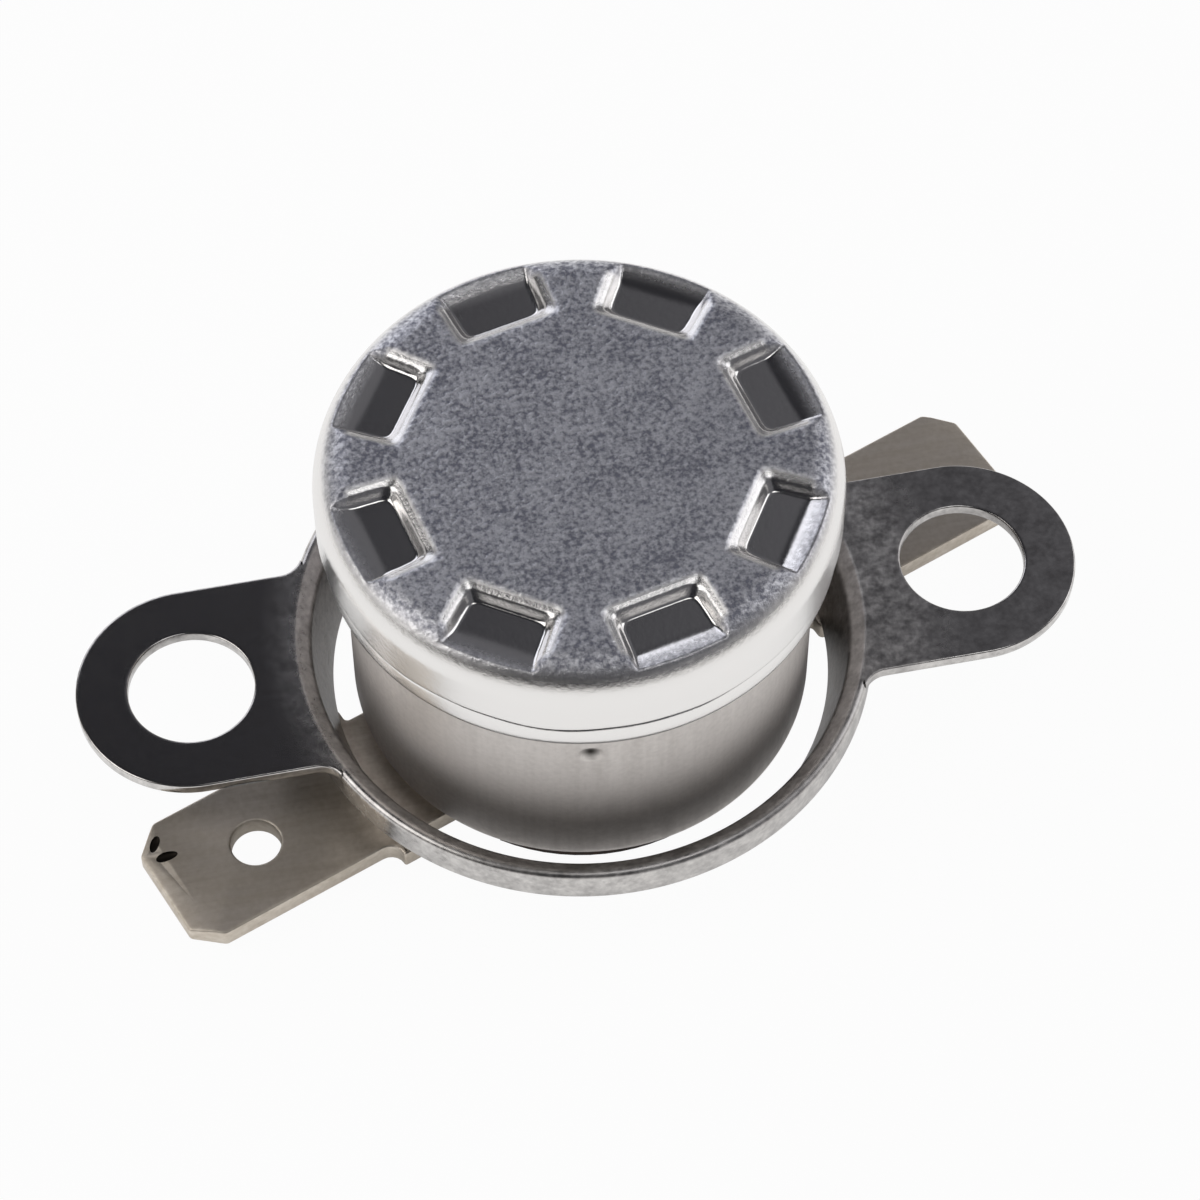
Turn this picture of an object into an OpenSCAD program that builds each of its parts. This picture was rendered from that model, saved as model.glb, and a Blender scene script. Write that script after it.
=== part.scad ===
// Snap-disc bimetal thermostat: a round case with a crimped sensing cap on top,
// two flat push-on tabs underneath and a loose mounting bracket round its waist.
// The bracket's ears lie along X and the sensing face looks up along Z.

/* [Case sleeve] */
// Outside diameter of the drawn sleeve
sleeve_d = 14; // [12.5:0.1:15]
// Height of the sleeve that shows, from its lower edge to the cap's lip
sleeve_h = 7.33; // [6.5:0.01:10]
// Thickness of the sleeve's sheet
sleeve_wall = 0.4; // [0.3:0.05:0.5]
// Width of the toe turned in under the base
sleeve_toe_w = 1; // [0.8:0.05:1.2]
// Outside radius of the sleeve's lower edge
sleeve_toe_r = 0.6; // [0.45:0.05:0.7]
// Gap between the sleeve's lower edge and the tabs under it
sleeve_up = 0.3; // [0.2:0.05:0.6]
// Width of the punched mark that pins the sleeve to the base
mark_w = 0.7; // [0.5:0.05:1]
// Depth of the punched mark
mark_depth = 0.12; // [0.08:0.01:0.2]
// Distance of the punched mark below the cap's lip
mark_down = 1.25; // [0.8:0.05:2]
// Direction of the punched mark round the case, in degrees
mark_turn = -98.5; // [-180:0.5:180]

/* [Sensing cap] */
// How far the cap stands out past the sleeve
cap_overhang = 0.75; // [0.7:0.05:1]
// Height of the cap, from its lip to its sensing face
cap_h = 3.8; // [3.5:0.1:5]
// Thickness of the cap's sheet
cap_wall = 0.35; // [0.25:0.05:0.4]
// Outside radius of the cap's rounded rim
rim_r = 1.2; // [0.9:0.05:1.4]
// Outside radius of the lip rolled in under the sleeve's flange
lip_r = 0.6; // [0.5:0.05:0.65]
// Step from the cap's side in to its lip
lip_step = 0.1; // [0.05:0.01:0.12]
// Height of the crimp groove's upper edge above the lip's lower edge
groove_up = 1.3; // [1.15:0.05:1.6]
// Width of the crimp groove
groove_w = 0.12; // [0.06:0.01:0.2]
// Depth of the crimp groove
groove_depth = 0.1; // [0.05:0.01:0.12]

/* [Cap pockets] */
// Number of pockets pressed into the sensing face
pocket_count = 8; // [4:1:10]
// Turn of the first pocket from the bracket's ears, in degrees
pocket_turn = 12.8; // [0:0.1:45]
// Distance of a pocket's outer end in from the cap's side, at the level of the sensing face
pocket_rim_gap = 0.1; // [0.05:0.05:0.4]
// Length of a pocket towards the middle, at the level of the sensing face
pocket_l = 2.4; // [1.8:0.05:2.6]
// Width of a pocket at its inner end
pocket_w_in = 2.7; // [1.6:0.05:2.8]
// Width of a pocket at its outer end
pocket_w_out = 3.05; // [2.2:0.05:3.4]
// Depth of a pocket
pocket_depth = 0.45; // [0.25:0.05:0.5]
// Lean of a pocket's inner and side walls over its depth
pocket_lean = 0.25; // [0.1:0.05:0.4]
// Run of a pocket's outer end over its depth, from the floor up to the rim
pocket_ramp = 1.05; // [0.4:0.05:1.2]

/* [Mounting bracket] */
// Thickness of the bracket's sheet
bracket_t = 0.4; // [0.3:0.05:0.45]
// Distance between the centres of the two ear holes
hole_spacing = 24; // [23:0.1:30]
// Diameter of an ear hole
hole_d = 3.84; // [3:0.02:4.2]
// Width of an ear
ear_w = 7; // [6:0.1:8]
// Height of the ears' top face above the tabs
ear_up = 2.63; // [2.4:0.01:3.4]
// Radius in the corner between ear and ring
ear_corner_r = 0.8; // [0.4:0.1:1.2]
// Gap between the sleeve and the lower edge of the ring's collar
collar_gap = 0.65; // [0.5:0.05:0.7]
// Width of the ring, from the collar's lower edge to the outside of its skirt
ring_w = 1.31; // [1.25:0.01:1.6]
// Width of the ring's dished top
dish_w = 0.71; // [0.5:0.01:0.8]
// Drop of the dished top towards the sleeve
dish_drop = 0.35; // [0.1:0.05:0.5]
// Outside radius where the ring's top folds down into the skirt
fold_r = 0.2; // [0.1:0.05:0.3]
// Drop of the ring's outer skirt below the ears' top face
skirt_drop = 1.16; // [0.9:0.02:1.6]
// Play between the collar and the tabs it rests on
bracket_play = 0.1; // [0.05:0.05:0.2]

/* [Terminals] */
// Direction of the tabs round the case from the bracket's ears, in degrees
tab_turn = 21.15; // [0:0.05:90]
// Width of a tab's blade
tab_w = 4.5; // [4:0.05:5]
// Thickness of a tab
tab_t = 0.7; // [0.5:0.05:0.8]
// Reach of the tab on the spring's side, from the case's axis
spring_reach = 14.8; // [13.5:0.1:18]
// Reach of the tab on the fixed contact's side, from the case's axis
fixed_reach = 15.3; // [13.5:0.1:18]
// Length of the chamfer at a tab's tip
tip_l = 0.85; // [0.4:0.05:1]
// Width of the chamfer at a tab's tip
tip_w = 0.75; // [0.4:0.05:1]
// Length of the coined bevel on top of a tab's tip
bevel_l = 0.62; // [0.3:0.02:0.8]
// Depth of the coined bevel
bevel_depth = 0.15; // [0.05:0.05:0.25]
// Diameter of a tab's catch hole
catch_d = 1.54; // [1.2:0.02:1.8]
// Distance of the catch hole from a tab's tip
catch_back = 3.17; // [2.6:0.01:3.6]
// Distance of a tab's stop shoulders from the case's axis
shoulder_at = 8.05; // [7.9:0.05:9]
// Length of a stop shoulder along the tab
shoulder_l = 0.9; // [0.6:0.05:1.2]
// How far a stop shoulder stands out from the blade
shoulder_out = 0.55; // [0.5:0.05:0.8]
// Radius in the corner between blade and stop shoulder
shoulder_r = 0.45; // [0.2:0.05:0.5]
// How far a tab's inner end reaches past its rivet
tab_heel = 1.8; // [1.6:0.05:2]

/* [Rivets] */
// Distance of a rivet in from the wall of the base's well
rivet_in = 1.7; // [1.6:0.05:1.9]
// Diameter of a rivet's shank
rivet_d = 1.3; // [1:0.05:1.4]
// Diameter of a rivet's formed head under the tab
rivet_head_d = 2.8; // [2.2:0.1:3]
// Diameter of a rivet's flange inside the base
rivet_flange_d = 1.9; // [1.6:0.05:2.1]
// Height of each rivet head
rivet_head_h = 0.35; // [0.25:0.05:0.4]

/* [Moulded base] */
// Height of the feet below the rivets' heads
foot_below = 0.25; // [0.1:0.05:0.5]
// Width of a foot's wall
foot_w = 1; // [0.8:0.05:1.4]
// Thickness of the base's floor
base_floor = 2; // [1.5:0.1:2.4]
// Thickness of the base's wall
base_wall = 1.15; // [1:0.05:1.2]
// Drop of the barrier rib between the tabs
barrier_drop = 0.85; // [0.4:0.05:1]

/* [Snap disc and pin] */
// Rise of the bimetal disc's dome
disc_dome = 0.4; // [0.25:0.05:0.45]
// Thickness of the bimetal disc
disc_t = 0.25; // [0.15:0.05:0.3]
// Width of the guide plate's rim round the disc
guide_rim_w = 0.8; // [0.6:0.05:1]
// Width of the ledge that the disc's edge sits on
guide_ledge_w = 0.45; // [0.3:0.05:0.6]
// Diameter of the push pin
pin_d = 1.8; // [1.4:0.05:1.9]
// Travel of the push pin when the disc snaps
pin_travel = 0.4; // [0.3:0.05:0.45]

/* [Contacts] */
// Thickness of the contact spring's leaf
leaf_t = 0.15; // [0.1:0.01:0.2]
// Width of the contact spring's leaf
leaf_w = 2.4; // [2:0.1:2.6]
// Height of the spring's arm above the base's floor
arm_up = 2.1; // [1.9:0.1:2.6]
// Diameter of a contact
contact_d = 1.8; // [1.4:0.05:1.8]
// Height of a contact
contact_h = 0.4; // [0.3:0.05:0.5]
// Diameter of a contact's riveted shank
contact_shank_d = 0.9; // [0.6:0.05:1]
// Thickness of the fixed contact's strip
strip_t = 0.35; // [0.25:0.05:0.4]

/* [Hidden] */
$fn = 96;

// Clearances: pieces that seat together, the sliding pin, and faces that only meet
seat_gap = 0.05;
pin_gap = 0.05;
meet_gap = 0.02;
// Room under the disc when it has snapped down
snap_room = 0.15;
// How far the pushed pin still stands out of its recess
pin_stand = 0.25;
// Room between a terminal's inner end and the barrier rib, and beside a terminal up to the feet
rib_gap = 0.4;
slot_gap = 1;
// Room that a cut runs past the face it opens
past = 1;
// How far a pocket's pressed boss stands out round the pocket and runs into the sheet
boss_grow = cap_wall / 2;
// Rise of the disc's dome at a radius
function dome_up(r) = disc_dome * (1 - pow(r / disc_r, 2));

// Levels, from the feet up
tab_low_z = foot_below + rivet_head_h;
seat_z = tab_low_z + tab_t;
sleeve_low_z = seat_z + sleeve_up;
shoulder_z = sleeve_low_z + sleeve_wall;
ear_z = seat_z + ear_up;
lip_z = sleeve_low_z + sleeve_h;
flange_z = lip_z + cap_wall;
stack_z = flange_z + sleeve_wall;
groove_z = lip_z + groove_up;
face_z = lip_z + cap_h;
rim_z = face_z - rim_r;
roof_z = face_z - cap_wall;

// Radii round the case's axis
sleeve_r = sleeve_d / 2;
sleeve_in_r = sleeve_r - sleeve_wall;
toe_in_r = sleeve_r - sleeve_toe_w;
cap_r = sleeve_r + cap_overhang;
lip_out_r = cap_r - lip_step;
lip_bore_r = sleeve_r + seat_gap;
crimp_r = lip_out_r - cap_wall;
flange_r = crimp_r - seat_gap;
base_r = sleeve_in_r - seat_gap;
neck_r = toe_in_r - seat_gap;
well_r = base_r - base_wall;
rivet_at = well_r - rivet_in;
tab_root = rivet_at - tab_heel;

// Snap disc, guide plate and pin
boss_z = roof_z - pocket_depth;
boss_in_r = cap_r - pocket_rim_gap - pocket_l - boss_grow;
guide_top_z = boss_z - seat_gap;
guide_in_r = flange_r - guide_rim_w;
disc_r = guide_in_r - seat_gap;
disc_z = min(roof_z - disc_dome, boss_z - dome_up(boss_in_r)) - disc_t - seat_gap;
recess_r = guide_in_r - guide_ledge_w;
recess_z = disc_z - disc_dome - snap_room;
pin_top_z = recess_z + pin_travel + pin_stand;

// Contacts, from the base's floor up; they sit as far out as the spring's fold, on the pin's other side
floor_z = seat_z + base_floor;
arm_z = floor_z + arm_up;
arm_top_z = arm_z + leaf_t;
moving_top_z = arm_top_z + contact_h;
fixed_low_z = moving_top_z + meet_gap;
strip_z = fixed_low_z + contact_h;
strip_top_z = strip_z + strip_t;
spring_root = rivet_at - rivet_flange_d / 2 - seat_gap;
contact_at = spring_root;
strip_riser = rivet_at + rivet_flange_d / 2 + seat_gap;
strip_out = strip_riser + strip_t;
foot_end = rivet_at + rivet_flange_d / 2 + strip_t;
rivet_hole_d = rivet_d + 2 * meet_gap;
shank_hole_d = contact_shank_d + 2 * meet_gap;

// Bracket ring
collar_r = sleeve_r + collar_gap;
ring_r = collar_r + ring_w;
fold_at = ring_r - fold_r;
dish_r = ring_r - dish_w;
dish_z = ear_z - dish_drop;
collar_z = seat_z + bracket_play;
skirt_z = ear_z - skirt_drop;

// Turns the line of the tabs: +X runs to the fixed side, -X to the spring's side
module along_tabs() {
    rotate([0, 0, tab_turn]) children();
}

// A straight round hole or shank through all levels between two heights
module post(d, low, high) {
    translate([0, 0, low]) cylinder(d = d, h = high - low);
}

// A strip of a given width that follows an outline of length and height
module folded_strip(w) {
    rotate([90, 0, 0]) linear_extrude(w, center = true) children();
}

// Pressed pocket as a solid that ends at a radius: its walls lean out as they rise, and it's grown at its
// inner end and sides for the boss under it
module pocket_form(low, high, out_r, grow) {
    in_r = cap_r - pocket_rim_gap - pocket_l - grow;
    spread = (pocket_w_out - pocket_w_in) / 2 / pocket_l;
    function half(r, inset) = pocket_w_in / 2 + spread * (r - in_r - grow) + grow - inset;
    function corners(z) =
        let (share = 1 - (z - low) / pocket_depth,
             inset = share * pocket_lean,
             near = in_r + inset,
             far = out_r - share * pocket_ramp)
        [[near, -half(near, inset), z], [far, -half(far, inset), z],
         [far, half(far, inset), z], [near, half(near, inset), z]];
    polyhedron(
        points = concat(corners(low), corners(high)),
        faces = [[0, 1, 2, 3], [7, 6, 5, 4], [0, 4, 5, 1], [1, 5, 6, 2], [2, 6, 7, 3], [3, 7, 4, 0]]
    );
}

module each_pocket() {
    for (i = [0 : pocket_count - 1])
        rotate([0, 0, pocket_turn + i * 360 / pocket_count]) children();
}

// Half section of the cap above its groove, set in from its outside
module cap_crown(inset) {
    translate([0, rim_z]) square([cap_r - rim_r, rim_r - inset]);
    translate([cap_r - rim_r, rim_z]) intersection() {
        circle(rim_r - inset);
        translate([-rim_r, 0]) square(2 * rim_r);
    }
    translate([0, groove_z]) square([cap_r - inset, rim_z - groove_z]);
}

// Half section of the cap's outside
module cap_outside() {
    cap_crown(0);
    translate([0, groove_z - groove_w]) square([lip_out_r - groove_depth, groove_w]);
    translate([0, lip_z + lip_r]) square([lip_out_r, groove_z - groove_w - lip_z - lip_r]);
    translate([lip_out_r - lip_r, lip_z + lip_r]) intersection() {
        circle(lip_r);
        translate([-lip_r, -2 * lip_r]) square(2 * lip_r);
    }
    translate([0, lip_z]) square([lip_out_r - lip_r, lip_r]);
}

// Half section of the space in the cap
module cap_inside() {
    cap_crown(cap_wall);
    translate([0, flange_z]) square([crimp_r, rim_z - flange_z]);
    translate([0, lip_z - past]) square([lip_bore_r, 2 * past]);
}

module cap_shell() {
    rotate_extrude() difference() {
        cap_outside();
        cap_inside();
    }
}

// Drawn aluminium cap, crimped over the sleeve's flange
module sensing_cap() {
    color("#a3a4aa") difference() {
        union() {
            cap_shell();
            intersection() {
                each_pocket() pocket_form(boss_z, roof_z + boss_grow, cap_r, boss_grow);
                rotate_extrude() cap_crown(boss_grow);
            }
        }
        each_pocket() pocket_form(face_z - pocket_depth, face_z + past, cap_r - pocket_rim_gap, 0);
    }
}

// Half section of the sleeve: toe, wall and flange
module sleeve_section() {
    difference() {
        union() {
            translate([toe_in_r, sleeve_low_z]) square([sleeve_toe_w - sleeve_toe_r, sleeve_wall]);
            translate([sleeve_r - sleeve_toe_r, sleeve_low_z + sleeve_toe_r]) intersection() {
                circle(sleeve_toe_r);
                translate([0, -sleeve_toe_r]) square(sleeve_toe_r);
            }
            translate([sleeve_in_r, sleeve_low_z + sleeve_toe_r])
                square([sleeve_wall, stack_z - sleeve_low_z - sleeve_toe_r]);
            translate([sleeve_in_r, flange_z]) square([flange_r - sleeve_in_r, sleeve_wall]);
        }
        translate([0, shoulder_z]) square([sleeve_in_r, stack_z]);
    }
}

// Drawn aluminium sleeve that holds the base, pinned to it by one punched mark
module case_sleeve() {
    ball_r = (mark_w * mark_w / 4 + mark_depth * mark_depth) / 2 / mark_depth;
    color("#9a9592") difference() {
        rotate_extrude() sleeve_section();
        rotate([0, 0, mark_turn])
            translate([sleeve_r + ball_r - mark_depth, 0, lip_z - mark_down]) sphere(ball_r);
    }
}

// Domed bimetal disc, cold: its middle stands up against the cap
module bimetal_disc() {
    steps = 12;
    function curve(i, low) = [disc_r * i / steps, low + dome_up(disc_r * i / steps)];
    lower = [for (i = [0 : steps]) curve(i, disc_z)];
    upper = [for (i = [steps : -1 : 0]) curve(i, disc_z + disc_t)];
    color("#b3a284") rotate_extrude() polygon(concat(lower, upper));
}

// Plate that seats the disc's edge and guides the pin
module guide_plate() {
    color("#4a3a30") difference() {
        post(2 * flange_r, stack_z, guide_top_z);
        post(2 * guide_in_r, disc_z, guide_top_z + past);
        post(2 * recess_r, recess_z, guide_top_z + past);
        post(pin_d + 2 * pin_gap, stack_z - past, guide_top_z + past);
    }
}

// Ceramic pin that carries the disc's snap to the contact spring
module push_pin() {
    color("#ece7dc") post(pin_d, arm_top_z + meet_gap, pin_top_z);
}

// Moulded base: a well for the contacts, a neck through the sleeve, two feet and a barrier rib
module moulded_base() {
    slot_w = tab_w + 2 * slot_gap;
    rib_w = 2 * (tab_root - rib_gap);
    color("#3b2a22") difference() {
        union() {
            post(2 * base_r, shoulder_z, stack_z);
            post(2 * neck_r, seat_z, shoulder_z);
            along_tabs() difference() {
                post(2 * neck_r, 0, seat_z);
                post(2 * (neck_r - foot_w), -past, seat_z);
                translate([-base_r, -slot_w / 2, -past]) cube([2 * base_r, slot_w, past + seat_z]);
            }
            along_tabs() translate([-rib_w / 2, -tab_w / 2, seat_z - barrier_drop])
                cube([rib_w, tab_w, barrier_drop]);
        }
        post(2 * well_r, floor_z, stack_z + past);
        along_tabs() for (side = [-1, 1]) translate([side * rivet_at, 0, 0])
            post(rivet_hole_d, -past, floor_z + past);
    }
}

// Flat outline of a terminal: blade, chamfered tip and stop shoulders with filled corners
module tab_outline(reach) {
    polygon([
        [tab_root, -tab_w / 2],
        [reach - tip_l, -tab_w / 2],
        [reach, tip_w - tab_w / 2],
        [reach, tab_w / 2 - tip_w],
        [reach - tip_l, tab_w / 2],
        [tab_root, tab_w / 2]
    ]);
    translate([shoulder_at - shoulder_l, -tab_w / 2 - shoulder_out])
        square([shoulder_l, tab_w + 2 * shoulder_out]);
    difference() {
        translate([shoulder_at - shoulder_l, -tab_w / 2 - shoulder_r])
            square([shoulder_l + shoulder_r, tab_w + 2 * shoulder_r]);
        for (side = [-1, 1]) translate([shoulder_at + shoulder_r, side * (tab_w / 2 + shoulder_r)])
            circle(shoulder_r);
    }
}

// Plated brass terminal, riveted under the base
module terminal(reach) {
    difference() {
        translate([0, 0, tab_low_z]) linear_extrude(tab_t) tab_outline(reach);
        translate([reach - catch_back, 0, 0]) post(catch_d, -past, seat_z + past);
        translate([rivet_at, 0, 0]) post(rivet_hole_d, -past, seat_z + past);
        folded_strip(2 * tab_w) polygon([
            [reach - bevel_l, seat_z],
            [reach + past, seat_z - bevel_depth * (bevel_l + past) / bevel_l],
            [reach + past, seat_z + past]
        ]);
    }
}

module spring_terminal() {
    color("#8b8378") along_tabs() rotate([0, 0, 180]) terminal(spring_reach);
}

module fixed_terminal() {
    color("#8b8378") along_tabs() terminal(fixed_reach);
}

// Brass rivet: a formed head under the tab and a flange on the strip inside
module rivet(strip) {
    top_z = floor_z + strip + rivet_head_h;
    crown = rivet_head_h / 2;
    translate([0, 0, foot_below]) cylinder(d1 = rivet_head_d - 2 * crown, d2 = rivet_head_d, h = crown);
    post(rivet_head_d, foot_below + crown, tab_low_z);
    post(rivet_d, foot_below + crown, top_z);
    post(rivet_flange_d, floor_z + strip, top_z);
}

module spring_rivet() {
    color("#c2a867") along_tabs() translate([-rivet_at, 0, 0]) rivet(leaf_t);
}

module fixed_rivet() {
    color("#c2a867") along_tabs() translate([rivet_at, 0, 0]) rivet(strip_t);
}

// Leaf folded up from its riveted foot, with an arm that runs under the pin to the contact
module contact_spring() {
    arm_end = contact_at + contact_d / 2;
    color("#b98a52") along_tabs() difference() {
        folded_strip(leaf_w) polygon([
            [-foot_end, floor_z],
            [-spring_root + leaf_t, floor_z],
            [-spring_root + leaf_t, arm_z],
            [arm_end, arm_z],
            [arm_end, arm_top_z],
            [-spring_root, arm_top_z],
            [-spring_root, floor_z + leaf_t],
            [-foot_end, floor_z + leaf_t]
        ]);
        translate([-rivet_at, 0, 0]) post(rivet_hole_d, floor_z - past, arm_z);
        translate([contact_at, 0, 0]) post(shank_hole_d, floor_z, arm_top_z + past);
    }
}

// Silver contact riveted through the spring's arm, face up
module moving_contact() {
    tail_h = contact_h / 2;
    color("#d8d8d6") along_tabs() translate([contact_at, 0, 0]) {
        post(contact_d, arm_top_z, moving_top_z);
        post(contact_shank_d, arm_z - tail_h, moving_top_z);
        post(contact_shank_d + 2 * tail_h, arm_z - tail_h, arm_z);
    }
}

// Strip folded up and back over the spring, to hold the fixed contact above the moving one
module fixed_strip() {
    arm_in = contact_at - contact_d / 2;
    foot_in = rivet_at - rivet_flange_d / 2;
    color("#c2a867") along_tabs() difference() {
        folded_strip(leaf_w) polygon([
            [foot_in, floor_z],
            [strip_out, floor_z],
            [strip_out, strip_top_z],
            [arm_in, strip_top_z],
            [arm_in, strip_z],
            [strip_riser, strip_z],
            [strip_riser, floor_z + strip_t],
            [foot_in, floor_z + strip_t]
        ]);
        translate([rivet_at, 0, 0]) post(rivet_hole_d, floor_z - past, floor_z + past);
        translate([contact_at, 0, 0]) post(shank_hole_d, strip_z - contact_h, strip_top_z + past);
    }
}

// Silver contact riveted through the fixed strip, face down
module fixed_contact() {
    tail_h = contact_h / 2;
    color("#d8d8d6") along_tabs() translate([contact_at, 0, 0]) {
        post(contact_d, fixed_low_z, strip_z);
        post(contact_shank_d, fixed_low_z, strip_top_z + tail_h);
        post(contact_shank_d + 2 * tail_h, strip_top_z, strip_top_z + tail_h);
    }
}

// Half section of the bracket's ring: leaning collar, dished top and the skirt folded down outside
module ring_section() {
    polygon([
        [collar_r, collar_z],
        [dish_r, dish_z],
        [fold_at, ear_z],
        [ring_r, ear_z - fold_r],
        [ring_r, skirt_z],
        [ring_r - bracket_t, skirt_z],
        [collar_r + bracket_t, collar_z]
    ]);
    translate([fold_at, ear_z - fold_r]) circle(fold_r);
}

// Flat outline of one ear with its corners filled to the ring
module ear_outline() {
    corner_y = ear_w / 2 + ear_corner_r;
    corner_x = sqrt(pow(ring_r + ear_corner_r, 2) - pow(corner_y, 2));
    to_ring = ring_r / (ring_r + ear_corner_r);
    difference() {
        union() {
            translate([hole_spacing / 2, 0]) circle(d = ear_w);
            translate([0, -ear_w / 2]) square([hole_spacing / 2, ear_w]);
            for (side = [-1, 1]) difference() {
                polygon([
                    [0, 0],
                    [corner_x, 0],
                    [corner_x, side * corner_y],
                    [corner_x * to_ring, side * corner_y * to_ring]
                ]);
                translate([corner_x, side * corner_y]) circle(ear_corner_r);
            }
        }
        circle(fold_at);
        translate([hole_spacing / 2, 0]) circle(d = hole_d);
    }
}

// Loose bracket of plated steel, trapped between the cap and the tabs
module mounting_bracket() {
    color("#5a5a60") {
        rotate_extrude() ring_section();
        for (side = [0, 180]) rotate([0, 0, side])
            translate([0, 0, ear_z - bracket_t]) linear_extrude(bracket_t) ear_outline();
    }
}

sensing_cap();
case_sleeve();
bimetal_disc();
guide_plate();
push_pin();
moulded_base();
contact_spring();
moving_contact();
fixed_strip();
fixed_contact();
spring_terminal();
fixed_terminal();
spring_rivet();
fixed_rivet();
mounting_bracket();
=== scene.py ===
"""Looks of a snap-disc bimetal thermostat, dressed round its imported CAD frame.

Sizes are in millimetres in the CAD part's own frame and turn into metres where a mesh is made.
"""

from __future__ import annotations

import logging
import math
from dataclasses import dataclass, field
from enum import Enum
from functools import partial
from typing import Any, Sequence

import bmesh
import bpy
from bpy.types import Material, Mesh, Node, NodeSocket, NodeTree, Object
from mathutils import Matrix, Vector


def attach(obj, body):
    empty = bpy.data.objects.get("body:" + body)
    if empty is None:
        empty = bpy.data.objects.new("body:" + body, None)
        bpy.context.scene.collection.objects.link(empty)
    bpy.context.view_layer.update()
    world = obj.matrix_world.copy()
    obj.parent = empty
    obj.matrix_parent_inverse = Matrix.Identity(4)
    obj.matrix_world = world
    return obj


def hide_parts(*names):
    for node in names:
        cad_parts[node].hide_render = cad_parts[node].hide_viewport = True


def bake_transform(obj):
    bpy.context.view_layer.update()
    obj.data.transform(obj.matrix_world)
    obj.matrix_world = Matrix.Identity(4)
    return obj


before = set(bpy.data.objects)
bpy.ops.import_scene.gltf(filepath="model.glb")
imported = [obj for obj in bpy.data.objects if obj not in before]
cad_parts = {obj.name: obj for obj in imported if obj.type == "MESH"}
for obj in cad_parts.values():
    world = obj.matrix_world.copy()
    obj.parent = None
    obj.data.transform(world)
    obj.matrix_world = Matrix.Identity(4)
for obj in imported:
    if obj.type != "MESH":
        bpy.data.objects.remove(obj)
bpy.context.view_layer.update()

MM = 0.001
LOG = logging.getLogger("thermostat")

Point = tuple[float, float]
Corner = tuple[float, float, float]
Tones = tuple[str, str]
Links = dict[int | str, Any] | Sequence[Any]

# Blender's names of the nodes used most
MATH, VECTOR, RANGE = "ShaderNodeMath", "ShaderNodeVectorMath", "ShaderNodeMapRange"
MIX, NOISE, BUMP = "ShaderNodeMix", "ShaderNodeTexNoise", "ShaderNodeBump"
COMBINE, SEPARATE = "ShaderNodeCombineXYZ", "ShaderNodeSeparateXYZ"

# Degrees from the bracket's ears to the line of the tabs
TAB_TURN = 21.15

# Tolerances: on the axis and on a wall in millimetres, and between welded points in metres
ON_AXIS, ON_WALL, WELD = 1e-9, 1e-4, 1e-7


class Body(Enum):
    """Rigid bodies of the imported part."""

    CASE = "case"
    BRACKET = "bracket"
    CONTACT = "contact"


class Slot(Enum):
    """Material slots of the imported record."""

    CAP = "cap_aluminium"
    SLEEVE = "sleeve_aluminium"
    BIMETAL = "bimetal"
    PHENOLIC = "phenolic"
    CERAMIC = "ceramic"
    BRONZE = "spring_bronze"
    SILVER = "silver"
    BRASS = "bare_brass"
    TAB = "plated_brass"
    BRACKET = "plated_steel"


# Shared helpers


def linear(colour: str) -> tuple[float, float, float, float]:
    """Turn an sRGB hex colour into Blender's linear values.

    Args:
        colour: Colour written as #rrggbb.

    Returns:
        Linear red, green, blue and an alpha of one.
    """
    parts = [int(colour[i : i + 2], 16) / 255 for i in (1, 3, 5)]
    red, green, blue = [
        c / 12.92 if c <= 0.04045 else ((c + 0.055) / 1.055) ** 2.4 for c in parts
    ]
    return red, green, blue, 1.0


def add_node(
    tree: NodeTree, kind: str, links: Links = (), **settings: Any
) -> Node:
    """Add a node with its settings, values and links.

    Args:
        tree: Node tree that gets the node.
        kind: Blender's type name of the node.
        links: Inputs in order, or by name or index. Each is a value, a socket or a node, whose
            first output is used.
        settings: Properties of the node.

    Returns:
        The new node.
    """
    node = tree.nodes.new(kind)
    for name, value in settings.items():
        setattr(node, name, value)
    for key, value in links.items() if isinstance(links, dict) else enumerate(links):
        if isinstance(value, Node):
            value = value.outputs[0]
        if isinstance(value, NodeSocket):
            tree.links.new(value, node.inputs[key])
        else:
            node.inputs[key].default_value = value
    return node


def per_metre(size_mm: float) -> float:
    """Return the texture scale whose pattern repeats about once per size."""
    return 1 / (size_mm * MM)


def arc(centre: Point, radius: float, start: float, end: float, steps: int) -> list[Point]:
    """Sample a circular arc.

    Args:
        centre: Centre of the arc.
        radius: Radius of the arc.
        start: First angle in degrees.
        end: Last angle in degrees.
        steps: Number of chords.

    Returns:
        Points from the first angle to the last.
    """
    angles = [math.radians(start + (end - start) * i / steps) for i in range(steps + 1)]
    return [(centre[0] + radius * math.cos(a), centre[1] + radius * math.sin(a)) for a in angles]


def circle(centre: Point, radius: float, steps: int) -> list[Point]:
    """Return the points of a full circle, anticlockwise."""
    return arc(centre, radius, 0, 360 - 360 / steps, steps - 1)


def span(start: Point, end: Point, steps: int) -> list[Point]:
    """Divide a straight line into equal steps and leave out its last point.

    Args:
        start: First point.
        end: Last point, which isn't returned.
        steps: Number of steps.

    Returns:
        The first point and those between.
    """
    return [
        (start[0] + (end[0] - start[0]) * i / steps, start[1] + (end[1] - start[1]) * i / steps)
        for i in range(steps)
    ]


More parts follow.
